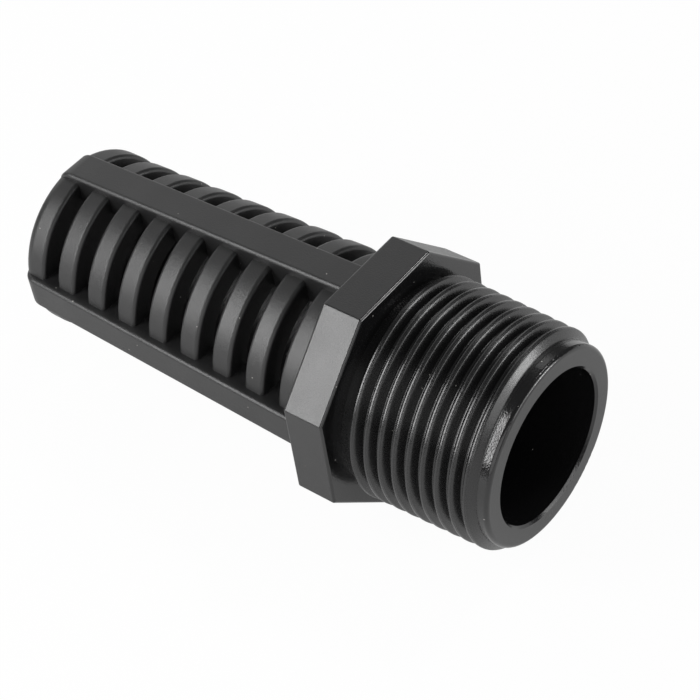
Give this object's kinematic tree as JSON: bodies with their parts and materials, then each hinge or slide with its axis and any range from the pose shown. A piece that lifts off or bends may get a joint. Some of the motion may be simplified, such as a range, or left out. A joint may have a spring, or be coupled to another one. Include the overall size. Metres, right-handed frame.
{
  "type": "threaded suction strainer",
  "caption": "Moulded suction strainer with a slotted tapering barrel, a closed far end, an octagonal spanner collar and a taper-threaded outlet stub.",
  "frame": {"origin": "on the long axis, in the plane of the collar's face on the thread side", "axes": "+X along the long axis, out of the threaded outlet; +Z the outward normal of one flat of the octagonal collar, with one bar of the barrel in line with it"},
  "size_m": [0.0877, 0.038, 0.038],
  "materials": {
    "black_plastic": "satin, faintly grained"
  },
  "bodies": {
    "root": {"strainer_body": "black_plastic"}
  },
  "joints": []
}
